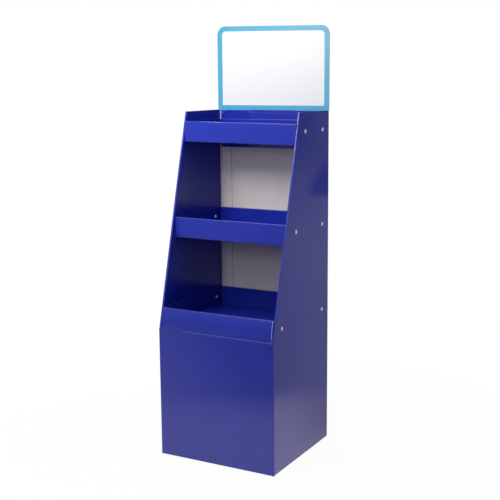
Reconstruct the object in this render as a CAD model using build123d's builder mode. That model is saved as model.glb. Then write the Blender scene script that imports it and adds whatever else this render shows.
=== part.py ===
"""Free-standing cardboard display stand: a closed plinth, three open trays between
sloping double side walls, and a header card in a pocket behind the top tray.

Frame: X to the right, Y to the back, Z up. The origin is on the floor, under the
middle of the stand. Every sheet is drawn folded, with its true board thickness.
"""

import os

from build123d import *

os.makedirs("parts", exist_ok=True)

# Outside sizes of the stand, millimetres
stand_width = 448.0
stand_depth = 430.0
body_height = 1200.0
base_height = 460.0
side_top_depth = 235.0
header_rise = 297.0

# Corrugated board and the way it folds
board = 3.0
ply_gap = 0.6
fold_radius = 3.0
roll_radius = 2.0
crease_radius = 0.5
play = 0.3
relief = 1.5
ply_setback = 1.0

# Side walls and the flaps that close the tube
glue_flap = 54.0
glue_flap_top = 1062.0
bottom_flap_depth = 90.0
bottom_flap_notch = 6.0
corner_run = 10.0
corner_notch_width = 5.0
corner_notch_height = 3.5

# Header card and its pocket at the top of the back panel
header_board = 3.0
header_corner = 32.0
header_play = 0.5
header_side_play = 1.0
leg_drop = 134.0
leg_corner = 12.0
pocket_drop = 137.5
pocket_side_gap = 2.4
bridge_width = 180.0
bridge_play = 1.0

# Trays: height of the underside, inset of the front lip from the sloping edge at that
# height, lean of that lip, rivet height above the underside
lip_height = 71.0
ear_length = 92.0
tab_width = 32.0
tab_from_middle = 108.5
tab_play = 0.5
seat_gap = 0.4
top_rest, top_inset, top_lean, top_rivet_rise = 1095.5, 10.5, 0.0, 41.0
middle_rest, middle_inset, middle_lean, middle_rivet_rise = 765.5, 26.5, 0.0, 39.5
bottom_rest, bottom_inset, bottom_lean, bottom_rivet_rise = base_height, 1.0, 13.0, 36.5

# One-piece snap rivets: head outside the wall, split shank through to the inside of the tray
rivet_hole_radius = 4.0
rivet_shank_radius = 3.8
rivet_head_radius = 7.0
rivet_crown_radius = 5.4
rivet_head_height = 2.2
rivet_tip_length = 4.0
rivet_split = 1.2
rivet_split_start = 3.0
rivet_from_front = 59.0
rivet_from_back = 55.0

# Places worked out from the sizes above
half_width = stand_width / 2
front_face = -stand_depth / 2
back_face = stand_depth / 2
slope_run = stand_depth - side_top_depth
slope_rise = body_height - base_height
slope_length = (slope_run**2 + slope_rise**2) ** 0.5
wall = 2 * board + ply_gap
wall_inside = half_width - wall
wall_back = back_face - 2 * board - ply_setback
pocket_gap = header_board + 2 * header_play
pocket_front = back_face - 2 * board - pocket_gap
pocket_half = wall_inside - pocket_side_gap
tray_width = 2 * (wall_inside - seat_gap)
lip_foot = board + play
lip_stack = 3 * board + 2 * play
side_lip = lip_height - board - play
grip = wall + seat_gap + board


def slope_y(z):
    """Y of the sloping front edge of the side walls at height z."""
    return front_face + slope_run * (z - base_height) / slope_rise


# Bottom flap of one panel: outer face of the panel on y = 0, flap folded towards +Y
def bottom_flap(span):
    with BuildPart() as flap:
        with BuildSketch(Plane.YZ) as section:
            with BuildLine():
                Polyline(
                    (0, corner_run),
                    (0, 0),
                    (bottom_flap_depth, 0),
                    (bottom_flap_depth, board),
                    (board, board),
                    (board, corner_run),
                    close=True,
                )
            make_face()
            fillet(section.vertices().sort_by_distance((0, 0, 0))[0], fold_radius)
            fillet(section.vertices().sort_by_distance((board, board, 0))[0], crease_radius)
        extrude(amount=span / 2, both=True)
        with BuildSketch():
            with BuildLine():
                Polyline(
                    (-span / 2, 0),
                    (span / 2, 0),
                    (span / 2 - bottom_flap_depth, bottom_flap_depth),
                    (-span / 2 + bottom_flap_depth, bottom_flap_depth),
                    close=True,
                )
            make_face()
        extrude(amount=corner_run, mode=Mode.INTERSECT)
    return flap.part


# Upper half of a right-hand side wall: both plies and the creased strip between them,
# rolled over the sloping front edge
def rolled_wall():
    with BuildPart() as rolled:
        across_slope = Plane(
            origin=(0, front_face, base_height),
            x_dir=(1, 0, 0),
            z_dir=(0, slope_run, slope_rise),
        )
        with BuildSketch(across_slope) as section:
            with BuildLine():
                Polyline(
                    (half_width, stand_depth),
                    (half_width, 0),
                    (wall_inside, 0),
                    (wall_inside, stand_depth),
                    (wall_inside + board, stand_depth),
                    (wall_inside + board, board),
                    (half_width - board, board),
                    (half_width - board, stand_depth),
                    close=True,
                )
            make_face()
            fillet(section.vertices().group_by(Axis.Y)[0], roll_radius)
        extrude(amount=2 * body_height, both=True)
        with BuildSketch(Plane.YZ):
            with BuildLine():
                Polyline(
                    (slope_y(base_height + relief), base_height + relief),
                    (wall_back, base_height + relief),
                    (wall_back, body_height),
                    (slope_y(body_height), body_height),
                    close=True,
                )
            make_face()
        extrude(amount=stand_width, mode=Mode.INTERSECT)
    return rolled.part


# Outer ply of a right-hand side wall, from just behind the front fold to just before
# the back fold
def side_ply():
    strip_run = board * slope_length / slope_rise
    with BuildPart() as ply:
        with BuildSketch(Plane.YZ.offset(half_width - board)):
            with BuildLine():
                Polyline(
                    (front_face + 2 * board, fold_radius),
                    (front_face + 2 * board, base_height),
                    (front_face + strip_run, base_height),
                    (slope_y(body_height) + strip_run, body_height),
                    (back_face - 2 * board, body_height),
                    (back_face - 2 * board, fold_radius),
                    close=True,
                )
            make_face()
        extrude(amount=board)
    return ply.part


# Places where a tray's rivets pass through the right-hand wall
def rivet_places(rest, inset, rise):
    front = (half_width, slope_y(rest) + inset + rivet_from_front, rest + rise)
    back = (half_width, back_face - rivet_from_back, rest + rise)
    return [front, back]


rivet_spots = (
    rivet_places(top_rest, top_inset, top_rivet_rise)
    + rivet_places(middle_rest, middle_inset, middle_rivet_rise)
    + rivet_places(bottom_rest, bottom_inset, bottom_rivet_rise)
)

# Plugs that cut the rivet holes through both walls at once
with BuildPart() as rivet_holes:
    for spot in rivet_spots:
        with BuildSketch(Plane.YZ):
            with Locations((spot[1], spot[2])):
                Circle(rivet_hole_radius)
        extrude(amount=stand_width, both=True)

# Main sheet: front of the plinth, right side wall and back panel in one
with BuildPart() as body_wrap:
    with BuildSketch(Plane.XY.offset(fold_radius)) as front_plan:
        with BuildLine():
            Polyline(
                (-half_width, front_face),
                (half_width, front_face),
                (half_width, front_face + corner_run),
                (half_width - board, front_face + corner_run),
                (half_width - board, front_face + board),
                (-half_width, front_face + board),
                close=True,
            )
        make_face()
        fillet(front_plan.vertices().sort_by_distance((half_width, front_face, 0))[0], fold_radius)
    extrude(amount=base_height - fold_radius)
    # Notch at the top of the front fold, where the rolled edge of the side wall begins
    with BuildSketch(Plane.XZ.offset(-front_face)):
        with BuildLine():
            Polyline(
                (half_width - corner_notch_width, base_height),
                (half_width, base_height),
                (half_width, base_height - corner_notch_height),
                close=True,
            )
        make_face()
    extrude(amount=-board, mode=Mode.SUBTRACT)
    with BuildSketch(Plane.XY.offset(fold_radius)) as back_plan:
        with BuildLine():
            Polyline(
                (-half_width, back_face),
                (half_width, back_face),
                (half_width, back_face - corner_run),
                (half_width - board, back_face - corner_run),
                (half_width - board, back_face - board),
                (-half_width, back_face - board),
                close=True,
            )
        make_face()
        fillet(back_plan.vertices().sort_by_distance((half_width, back_face, 0))[0], fold_radius)
    extrude(amount=body_height - relief - fold_radius)
    add(side_ply())
    add(rolled_wall())

    # Pocket flap, folded over the back panel's top edge at the bridge only
    with BuildSketch(Plane.XZ.offset(-pocket_front)):
        with Locations((0, body_height - relief)):
            Rectangle(2 * pocket_half, pocket_drop - relief, align=(Align.CENTER, Align.MAX))
    extrude(amount=-board)
    with BuildSketch(Plane.YZ) as bridge_section:
        with BuildLine():
            Polyline(
                (pocket_front, body_height - corner_run),
                (pocket_front, body_height),
                (back_face, body_height),
                (back_face, body_height - corner_run),
                (back_face - board, body_height - corner_run),
                (back_face - board, body_height - board),
                (pocket_front + board, body_height - board),
                (pocket_front + board, body_height - corner_run),
                close=True,
            )
        make_face()
        fillet(bridge_section.vertices().group_by(Axis.Y)[-1], roll_radius)
    extrude(amount=bridge_width / 2, both=True)

    # Bottom flaps, mitred so that all four lie flat on the floor
    with Locations(
        Location((0, front_face, 0)),
        Location((0, back_face, 0), (0, 0, 180)),
    ):
        add(bottom_flap(stand_width - 2 * bottom_flap_notch))
    with Locations(Location((half_width, 0, 0), (0, 0, 90))):
        add(bottom_flap(stand_depth - 2 * bottom_flap_notch))
    add(rivet_holes.part, mode=Mode.SUBTRACT)
body_wrap.part.label = "body_wrap"

# Left side wall: a second sheet, glued inside the main one by a flap at each end
with BuildPart() as left_side:
    mirror(side_ply(), about=Plane.YZ)
    mirror(rolled_wall(), about=Plane.YZ)
    with BuildSketch(Plane.XY.offset(fold_radius + relief)) as front_flap_plan:
        with BuildLine():
            Polyline(
                (-half_width, front_face + corner_run),
                (-half_width, front_face + board),
                (-half_width + glue_flap, front_face + board),
                (-half_width + glue_flap, front_face + 2 * board),
                (-half_width + board, front_face + 2 * board),
                (-half_width + board, front_face + corner_run),
                close=True,
            )
        make_face()
        fillet(
            front_flap_plan.vertices().sort_by_distance((-half_width, front_face + board, 0))[0],
            fold_radius,
        )
    extrude(amount=base_height - fold_radius - 2 * relief)
    with BuildSketch(Plane.XY.offset(fold_radius + relief)) as back_flap_plan:
        with BuildLine():
            Polyline(
                (-half_width, back_face - corner_run),
                (-half_width, back_face - board),
                (-half_width + glue_flap, back_face - board),
                (-half_width + glue_flap, back_face - 2 * board),
                (-half_width + board, back_face - 2 * board),
                (-half_width + board, back_face - corner_run),
                close=True,
            )
        make_face()
        fillet(
            back_flap_plan.vertices().sort_by_distance((-half_width, back_face - board, 0))[0],
            fold_radius,
        )
    extrude(amount=glue_flap_top - fold_radius - relief)
    # Above the glue flap the ply runs on to the back panel unfolded
    with BuildSketch(Plane.XY.offset(glue_flap_top)):
        with Locations((-half_width, back_face - board)):
            Rectangle(board, corner_run, align=(Align.MIN, Align.MAX))
    extrude(amount=body_height - glue_flap_top)
    with Locations(Location((-half_width, 0, 0), (0, 0, -90))):
        add(bottom_flap(stand_depth - 2 * bottom_flap_notch))
    add(rivet_holes.part, mode=Mode.SUBTRACT)
left_side.part.label = "left_side"


# How far a lip lies behind its foot at height z: upright up to lip_foot, then an arc that
# reaches lean at the top
def set_back(lean, z):
    if lean == 0:
        return 0.0
    rise = lip_height - lip_foot
    radius = (lean**2 + rise**2) / (2 * lean)
    return radius - (radius**2 - (z - lip_foot) ** 2) ** 0.5


# Line of a lip's section between two heights, layer behind the outer face
def upright(lean, low, high, layer):
    middle = (low + high) / 2
    start = (set_back(lean, low) + layer, low)
    end = (set_back(lean, high) + layer, high)
    if lean == 0:
        Line(start, end)
    else:
        ThreePointArc(start, (set_back(lean, middle) + layer, middle), end)


# Outline of a band of a lip's section, from one layer to another and from the foot to high
def lip_band(lean, high, near, far):
    upright(lean, lip_foot, high, near)
    Line((set_back(lean, high) + near, high), (set_back(lean, high) + far, high))
    upright(lean, high, lip_foot, far)
    Line((far, lip_foot), (near, lip_foot))


# Rolled lip of a tray, along X: outer ply, top strip and inner ply, with its foot on y = 0
def rolled_lip(lean):
    under_strip = lip_height - board
    with BuildPart() as lip:
        with BuildSketch(Plane.YZ) as outer_section:
            with BuildLine():
                Polyline((lip_foot, board), (lip_foot, 0), (0, 0), (0, lip_foot))
                upright(lean, lip_foot, lip_height, 0)
                Line((lean, lip_height), (lean + lip_stack, lip_height))
                upright(lean, lip_height, under_strip, lip_stack)
                Line(
                    (set_back(lean, under_strip) + lip_stack, under_strip),
                    (set_back(lean, under_strip) + board, under_strip),
                )
                upright(lean, under_strip, lip_foot, board)
                Polyline((board, lip_foot), (board, board), (lip_foot, board))
            make_face()
            fillet(outer_section.vertices().sort_by_distance((0, 0, 0))[0], fold_radius)
            fillet(outer_section.vertices().group_by(Axis.Y)[-1], roll_radius)
        extrude(amount=tray_width / 2, both=True)
        with BuildSketch(Plane.YZ):
            with BuildLine():
                lip_band(lean, under_strip, lip_stack - board, lip_stack)
            make_face()
        extrude(amount=tray_width / 2 - board - play, both=True)
        # Tabs on the inner ply, down through the floor
        with BuildSketch(Plane.XZ.offset(-lip_stack)):
            with Locations((tab_from_middle, 0), (-tab_from_middle, 0)):
                Rectangle(tab_width, lip_foot, align=(Align.CENTER, Align.MIN))
        extrude(amount=board)
    return lip.part


# Ears at the front ends of the side lips, folded in behind the outer ply of a rolled lip
def corner_ears(lean):
    with BuildPart() as ears:
        with BuildSketch(Plane.YZ):
            with BuildLine():
                lip_band(lean, side_lip, lip_foot, lip_foot + board)
            make_face()
        extrude(amount=tray_width / 2, both=True)
        with BuildSketch():
            Rectangle(tray_width - 2 * ear_length, stand_depth)
        extrude(amount=lip_height, mode=Mode.SUBTRACT)
    return ears.part


# Floor and side lips of a tray, as one channel along Y. Its ends follow the lean of the
# lips, and are notched down to where the rolled strips pass over them
def side_channel(depth, lean):
    with BuildPart() as channel:
        with BuildSketch(Plane.XZ.offset(-lip_foot)) as section:
            Rectangle(tray_width, lip_height, align=(Align.CENTER, Align.MIN))
            fillet(section.vertices().group_by(Axis.Y)[0], fold_radius)
            with BuildSketch(mode=Mode.SUBTRACT) as hollow:
                with Locations((0, board)):
                    Rectangle(tray_width - 2 * board, lip_height, align=(Align.CENTER, Align.MIN))
                fillet(hollow.vertices().group_by(Axis.Y)[0], crease_radius)
        extrude(amount=-(depth - 2 * lip_foot))
        with BuildSketch(Plane.YZ):
            with Locations((lean + lip_stack + play, side_lip)):
                Rectangle(depth, lip_height, align=(Align.MAX, Align.MIN))
            with Locations((depth - lip_stack - play, side_lip)):
                Rectangle(depth, lip_height, align=(Align.MIN, Align.MIN))
        extrude(amount=tray_width, both=True, mode=Mode.SUBTRACT)
        if lean > 0:
            with BuildSketch(Plane.YZ):
                with BuildLine():
                    lip_band(lean, side_lip, -lip_height, lip_foot)
                make_face()
            extrude(amount=tray_width, both=True, mode=Mode.SUBTRACT)
    return channel.part


# One folded tray: front lip's foot on y = 0, underside on z = 0
def folded_tray(depth, lean, rivet_ys, rivet_rise):
    tab_middle = lip_stack - board / 2
    tab_places = [
        (x, y) for x in (tab_from_middle, -tab_from_middle) for y in (tab_middle, depth - tab_middle)
    ]
    mid_depth = Plane.XZ.offset(-depth / 2)
    channel = side_channel(depth, lean)
    front_lip = rolled_lip(lean)
    front_ears = corner_ears(lean)
    plain_lip = rolled_lip(0)
    plain_ears = corner_ears(0)
    with BuildPart() as tray:
        add(channel)
        # Slots in the floor that take the tabs of the inner plies
        with BuildSketch():
            with Locations(*tab_places):
                Rectangle(tab_width + 2 * tab_play, board + 2 * tab_play)
        extrude(amount=board, mode=Mode.SUBTRACT)
        add(front_ears)
        mirror(plain_ears, about=mid_depth)
        add(front_lip)
        mirror(plain_lip, about=mid_depth)
        with BuildSketch(Plane.YZ):
            with Locations(*[(y, rivet_rise) for y in rivet_ys]):
                Circle(rivet_hole_radius)
        extrude(amount=tray_width, both=True, mode=Mode.SUBTRACT)
    return tray.part


# A tray in its place in the stand, holed to match the side walls
def placed_tray(rest, inset, back_gap, lean, rivet_rise):
    lip_face = slope_y(rest) + inset
    depth = back_face - back_gap - lip_face
    rivet_ys = (rivet_from_front, back_face - rivet_from_back - lip_face)
    tray = folded_tray(depth, lean, rivet_ys, rivet_rise)
    with BuildPart() as placed:
        with Locations((0, lip_face, rest)):
            add(tray)
    return placed.part


flap_gap = back_face - pocket_front + seat_gap
panel_gap = 2 * board + seat_gap

with BuildPart() as top_tray:
    add(placed_tray(top_rest, top_inset, flap_gap, top_lean, top_rivet_rise))
top_tray.part.label = "top_tray"

with BuildPart() as middle_tray:
    add(placed_tray(middle_rest, middle_inset, panel_gap, middle_lean, middle_rivet_rise))
middle_tray.part.label = "middle_tray"

with BuildPart() as bottom_tray:
    add(placed_tray(bottom_rest, bottom_inset, panel_gap, bottom_lean, bottom_rivet_rise))
bottom_tray.part.label = "bottom_tray"

# Header card: shoulders on the side walls, two legs down in the pocket
leg_outside = wall_inside - header_side_play
leg_inside = bridge_width / 2 + bridge_play
with BuildPart() as header_card:
    with BuildSketch(Plane.XZ.offset(-(pocket_front + board + header_play))) as card:
        with Locations((0, body_height)):
            Rectangle(stand_width, header_rise, align=(Align.CENTER, Align.MIN))
        fillet(card.vertices().group_by(Axis.Y)[-1], header_corner)
        for side in (1, -1):
            with Locations((side * (leg_outside + leg_inside) / 2, body_height)):
                Rectangle(leg_outside - leg_inside, leg_drop, align=(Align.CENTER, Align.MAX))
        fillet(card.vertices().group_by(Axis.Y)[0], leg_corner)
        with Locations((0, body_height)):
            Rectangle(2 * leg_inside, play, align=(Align.CENTER, Align.MIN), mode=Mode.SUBTRACT)
    extrude(amount=-header_board)
header_card.part.label = "header_card"

# Snap rivet with its head on x = 0 and its shank towards -X
rivet_end = grip + rivet_tip_length
with BuildPart() as rivet:
    with BuildSketch():
        with BuildLine():
            Polyline(
                (rivet_head_height, 0),
                (-rivet_end, 0),
                (-rivet_end, rivet_shank_radius),
                (0, rivet_shank_radius),
                (0, rivet_head_radius),
                (rivet_head_height, rivet_crown_radius),
                close=True,
            )
        make_face()
    revolve(axis=Axis.X)
    with BuildSketch(Plane.XZ):
        with Locations((-rivet_split_start, 0)):
            Rectangle(rivet_end, rivet_split, align=(Align.MAX, Align.CENTER))
    extrude(amount=rivet_head_radius, both=True, mode=Mode.SUBTRACT)

right_spots = [Location(spot) for spot in rivet_spots]
left_spots = [Location((-x, y, z), (0, 0, 180)) for x, y, z in rivet_spots]
with BuildPart() as snap_rivets:
    with Locations(*right_spots, *left_spots):
        add(rivet.part)
snap_rivets.part.label = "snap_rivets"

export_step(body_wrap.part, "parts/body_wrap.step")
export_step(left_side.part, "parts/left_side.step")
export_step(top_tray.part, "parts/top_tray.step")
export_step(middle_tray.part, "parts/middle_tray.step")
export_step(bottom_tray.part, "parts/bottom_tray.step")
export_step(header_card.part, "parts/header_card.step")
export_step(snap_rivets.part, "parts/snap_rivets.step")
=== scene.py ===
"""Cardboard display stand, dressed: every folded sheet is worked out again as a surface of
real board, with printed and bare sides, creases and cut edges, in soft studio light.

Lengths are in millimetres until a mesh is made, and in metres in the materials and the
studio. X is to the right, Y to the back, Z up, with the origin on the floor under the
middle of the stand.
"""

import math

import bpy
import numpy as np
from mathutils import Matrix, Vector


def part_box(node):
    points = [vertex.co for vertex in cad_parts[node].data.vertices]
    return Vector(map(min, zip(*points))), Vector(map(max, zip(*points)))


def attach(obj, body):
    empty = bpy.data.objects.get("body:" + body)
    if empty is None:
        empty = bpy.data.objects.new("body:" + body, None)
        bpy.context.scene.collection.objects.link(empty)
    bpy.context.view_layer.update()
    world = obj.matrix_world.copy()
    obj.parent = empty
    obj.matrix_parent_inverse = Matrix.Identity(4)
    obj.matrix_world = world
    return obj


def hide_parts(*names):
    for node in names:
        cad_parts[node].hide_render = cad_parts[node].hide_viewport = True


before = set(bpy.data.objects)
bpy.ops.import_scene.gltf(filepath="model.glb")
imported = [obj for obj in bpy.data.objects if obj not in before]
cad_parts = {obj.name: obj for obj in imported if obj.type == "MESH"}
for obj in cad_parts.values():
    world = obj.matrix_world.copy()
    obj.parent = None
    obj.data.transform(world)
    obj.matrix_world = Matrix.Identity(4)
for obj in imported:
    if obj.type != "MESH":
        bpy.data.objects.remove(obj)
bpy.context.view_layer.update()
MM = 0.001


def millimetres(node_name):
    """Lowest and highest corner of a node of the frame, in millimetres."""
    low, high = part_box(node_name)
    return np.array(low) / MM, np.array(high) / MM


wrap_low, wrap_high = millimetres("body_wrap")
card_low, card_high = millimetres("header_card")

# The stand: half its width over the walls, its front, back and top, the plinth's height,
# and how far the walls' front edges run back above it
HALF = card_high[0]
FRONT = wrap_low[1]
BACK = wrap_high[1]
TOP = wrap_high[2]
BASE = 460.0
SLOPE_RUN = 195.0

# The board: its thickness, the outer radii of its folds and rolls, the radius inside them,
# its flutes and its liners
BOARD = 3.0
FOLD = 3.0
ROLL = 2.0
CREASE = 0.2
FLUTE_PITCH = 6.4
LINER = 0.35

# The walls: the gap between their plies, the inner ply's face and back end, the relief
# cuts, and how far behind the front edge the plinth's part and the upper part meet
PLY_GAP = 0.6
INSIDE = HALF - 2 * BOARD - PLY_GAP
WALL_BACK = BACK - 2 * BOARD - 1.0
RELIEF = 1.5
KEY = 9.0
CORNER_DIP = 3.5

# The bottom flaps and the left sheet's glue flaps
FOOT = 3.2
CORNER_FOOT = 0.2
FLAP_DEPTH = 90.0
FLAP_NOTCH = 6.0
GLUE_FLAP = 54.0
GLUE_FLAP_TOP = 1062.0

# The pocket behind the back panel's top, and half the width of the bridge that carries it
BRIDGE = 90.0
BRIDGE_FOOT = TOP - 10.0
POCKET_FRONT = BACK - 2 * BOARD - 4.0
POCKET_HALF = INSIDE - 2.4
POCKET_DROP = 137.5
LEG_SHOWS = 4.5

# The trays: their lips' height and foot, the rolled lips' depth, the side lips' height in
# them, the ears and tabs, the gaps, a lip's end painted with a highlight, and the depth over
# which one sags
LIP = 71.0
LIP_FOOT = BOARD + 0.3
STACK = 3 * BOARD + 0.6
SIDE_LIP = LIP - LIP_FOOT
EAR = 92.0
TAB_WIDTH = 32.0
TAB_PLACE = 108.5
LIP_GAP = 0.3
JOG = 0.4
HIGHLIT_END = 2.5
TRAY_HOLD = 200.0

# The header card: its legs, its corners, how far it sits off the middle and how much wider
# it is, how far its top edge falls at the right, and its border about a bare field
LEG_DROP = 134.0
LEG_CORNER = 12.0
HEADER_CORNER = 32.0
CARD_OFF, CARD_WIDER = 1.3, 1.1
CARD_SKEW = 4.0
BORDER = 18.0
FOOT_LESS = 2.0
FIELD_CENTRE, FIELD_HALF = 2.0, 205.9

# The grids: the longest step along a section, the rows up a wall, half the length over
# which an edge's height steps, how near doubled points are, each side's material, the
# crease mark of a place painted with a highlight, and X before and past a step beside the flaps
GRID_STEP, LIP_STEP = 24.0, 10.0
ROWS_LOW, ROWS_HIGH = 20, 32
SEAM = 0.5
WELD = 1e-4
FACE, REVERSE, CUT, BLUE_CUT = 0, 1, 2, 3
HIGHLIGHT_MARK = 2.0
NOTCH_NEAR, NOTCH_PAST = HALF - FLAP_NOTCH - SEAM, HALF - FLAP_NOTCH + SEAM


def front_edge(z):
    """Y of the sloping front edge of the side walls at height z."""
    return FRONT + SLOPE_RUN * (z - BASE) / (TOP - BASE)


# Lines and grids
def rounded(corners, radii, steps=6):
    """The line through the corners, each inner corner turned on an arc of its radius, and
    for each point how far it is into its arc, as the sine of 0 to pi."""
    corners = np.array(corners, float)
    points, bends = [corners[:1]], [np.zeros(1)]
    for corner, before, after, radius in zip(corners[1:-1], corners[:-2], corners[2:], radii):
        if radius == 0:
            points.append(corner[None])
            bends.append(np.zeros(1))
            continue
        into = (corner - before) / np.linalg.norm(corner - before)
        out = (after - corner) / np.linalg.norm(after - corner)
        turn = math.atan2(into[0] * out[1] - into[1] * out[0], into @ out)
        start = corner - into * radius * math.tan(abs(turn) / 2)
        arm = math.copysign(radius, turn) * np.array([into[1], -into[0]])
        sweep = np.linspace(0, turn, steps + 1)
        across = np.array([-arm[1], arm[0]])
        centre = start - arm
        points.append(centre + np.outer(np.cos(sweep), arm) + np.outer(np.sin(sweep), across))
        bends.append(np.sin(np.linspace(0, math.pi, steps + 1)))
    points.append(corners[-1:])
    bends.append(np.zeros(1))
    return np.concatenate(points), np.concatenate(bends)


def cut_alike(lines, step=GRID_STEP):
    """Lines with as many points each, cut at the same shares of their runs, so that no run
    of the first is longer than step."""
    runs = np.linalg.norm(np.diff(lines[0], axis=0), axis=1)
    parts = np.maximum(1, np.ceil(runs / step - 1e-6).astype(int))
    run = np.append(np.repeat(np.arange(len(parts)), parts), len(parts) - 1)
    before = np.cumsum(parts) - parts
    share = (np.arange(parts.sum()) - np.repeat(before, parts)) / np.repeat(parts, parts)
    share = np.append(share, 1.0)
    return [
        line[run] + (line[run + 1] - line[run]) * share.reshape((-1,) + (1,) * (line.ndim - 1))
        for line in lines]


def along(line):
    """Length along a line, point by point."""
    return np.append(0.0, np.cumsum(np.linalg.norm(np.diff(line, axis=0), axis=1)))


def grid_quads(rows, columns):
    """Four-sided faces of a grid whose points are stored row by row."""
    corner = np.arange(rows - 1)[:, None] * columns + np.arange(columns - 1)[None, :]
    return np.stack([corner, corner + 1, corner + 1 + columns, corner + columns], -1)


class Shell:
    """One closed surface, gathered from grids that share their border points."""

    def __init__(self):
        self.points, self.quads, self.maps, self.sides, self.marks = [], [], [], [], []
        self.count = 0

    def grid(self, points, flat, side, marks=None, turned=False, keep=None):
        """Adds a grid of points, with its place on the flat sheet, its side and its marks
        (crease and distance to a cut edge). keep says which of its faces are made."""
        rows, columns = points.shape[:2]
        quads = grid_quads(rows, columns)
        quads = quads[keep] if keep is not None else quads.reshape(-1, 4)
        if turned:
            quads = quads[:, ::-1]
        if marks is None:
            marks = np.zeros((rows, columns, 2))
        self.points.append(points.reshape(-1, 3))
        self.maps.append(flat.reshape(-1, 2)[quads])
        self.marks.append(marks.reshape(-1, 2))
        self.quads.append(quads + self.count)
        self.sides.append(np.full(len(quads), side))
        self.count += rows * columns

    def closed(self):
        """The shell with its doubled points merged and, if its volume comes out below zero,
        its faces turned outwards."""
        points, quads = np.concatenate(self.points), np.concatenate(self.quads)
        marks, maps = np.concatenate(self.marks), np.concatenate(self.maps)
        grain = np.round(points / WELD).astype(np.int64)
        first, place = np.unique(grain, axis=0, return_index=True, return_inverse=True)[1:]
        points, marks, quads = points[first], marks[first], place.reshape(-1)[quads]
        a, b, c, d = (points[quads[:, k]] for k in range(4))
        volume = np.einsum("ij,ij->", a, np.cross(b, c)) + np.einsum("ij,ij->", a, np.cross(c, d))
        if volume < 0:
            quads, maps = quads[:, ::-1], maps[:, ::-1]
        return points, quads, maps, np.concatenate(self.sides), marks


def board_sheet(outer, inner, bend, low=True, high=True, lengthwise=True, cut=CUT, shell=None):
    """A sheet of board: its face and its reverse as two grids of the same size (rows run
    along the folds), and its cut edges between them. low and high say which columns have a
    cut edge on the first and last row. The flutes run along the folds if lengthwise."""
    made = shell or Shell()
    rows, columns = outer.shape[:2]
    across = along(outer[rows // 2])
    rise = np.linalg.norm(np.diff(outer, axis=0), axis=2)
    rise = np.concatenate([np.zeros((1, columns)), np.cumsum(rise, axis=0)])
    across = np.broadcast_to(across, (rows, columns))
    flat = np.stack([across, rise] if lengthwise else [rise, across], -1)
    low = np.ones(columns - 1, bool) & low
    high = np.ones(columns - 1, bool) & high
    gap = np.minimum(across, across[0, -1] - across)
    if low.all():
        gap = np.minimum(gap, rise)
    if high.all():
        gap = np.minimum(gap, rise[-1] - rise)
    marks = np.stack([np.broadcast_to(bend, (rows, columns)), gap], -1)
    made.grid(outer, flat, FACE, marks)
    made.grid(inner, flat, REVERSE, marks, turned=True)
    thick = np.array([0.0, BOARD])[:, None]

    def rim(near, away, length, waves, keep=None):
        """A cut edge from line to line, mapped by its thickness, and by its length if it
        crosses the flutes (waves)."""
        flat_rim = np.stack(np.broadcast_arrays(length * waves, thick), -1)
        made.grid(np.stack([near, away]), flat_rim, cut, keep=keep)

    if low.any():
        rim(inner[0], outer[0], across[0], lengthwise, low[None])
    if high.any():
        rim(outer[-1], inner[-1], across[0], lengthwise, high[None])
    rim(outer[:, 0], inner[:, 0], rise[:, 0], not lengthwise)
    rim(inner[:, -1], outer[:, -1], rise[:, -1], not lengthwise)
    return made


def sloping(at_base, at_top, low, high, rows):
    """A level section (x, y) carried up, which moves from at_base to at_top as it rises
    along the slope: point k of it runs from height low[k] to high[k]."""
    share = np.linspace(0, 1, rows)[:, None]
    z = low + (high - low) * share
    up = ((z - BASE) / (TOP - BASE))[..., None]
    return np.concatenate([at_base + (at_top - at_base) * up, z[..., None]], -1)


def standing(section, low, high, rows):
    """A level section (x, y) carried straight up."""
    return sloping(section, section, low, high, rows)


def lengthways(section, ends, shares):
    """An upright section (y, z) carried along X: point k of it stands at the shares of
    ends[k], and so from -ends[k] to ends[k] for shares from -1 to 1."""
    return np.stack(np.broadcast_arrays(shares[:, None] * ends, *section.T), -1)


def mirrored(points):
    """The points with their X turned over, for the left of the stand."""
    return points * (-1, 1, 1)


def turned_about(points, axis, angle):
    """Points turned about an axis through their own origin."""
    return points @ np.array(Matrix.Rotation(angle, 3, axis)).T


# How the sheets have settled: the bulge of the sides in the plinth and over their whole
# height, of the plinth's front and of the back, and how far all surfaces wander
PLINTH_SIDE_BULGE, SIDE_BULGE, FRONT_BULGE, BACK_BULGE, WANDER = 1.3, 0.9, 1.4, 0.8, 0.25


def swell(share):
    """Bulge of a panel held at both ends: the sine of 0 to pi over its width."""
    return np.sin(math.pi * np.clip(share, 0, 1))


def settled(points):
    """The points, moved as the real board has settled: panels bulge by about a millimetre
    between their folds, each as the product of swells over its width and height, and all
    surfaces wander by a few tenths."""
    x, y, z = points.T
    side = x / HALF
    depth = (y - FRONT) / (BACK - FRONT)
    width = (side + 1) / 2
    near_front = np.clip(1 - (y - FRONT) / 60, 0, 1)
    near_back = np.clip(1 - (BACK - y) / 40, 0, 1)
    bulge_side = (PLINTH_SIDE_BULGE * swell(depth) * swell(z / BASE)
                  + SIDE_BULGE * swell(depth) * swell(z / TOP))
    bulge_front = FRONT_BULGE * near_front * swell(width) * swell(z / BASE)
    bulge_back = BACK_BULGE * near_back * swell(width) * np.sin(2 * math.pi * z / TOP)
    wander_x = WANDER * np.sin(z / 97 + 1.3) * np.sin(y / 71 + 0.4)
    wander_y = WANDER * near_front * np.sin(x / 63) * swell(z / BASE)
    shift_x = side * (bulge_side * np.where(x > 0, 1.0, 0.8) + wander_x)
    shift_y = bulge_back - bulge_front + wander_y
    return points + np.stack([shift_x, shift_y, np.zeros_like(z)], -1)


def linked(name, data):
    """A new object in the scene."""
    made = bpy.data.objects.new(name, data)
    bpy.context.scene.collection.objects.link(made)
    return made


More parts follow.
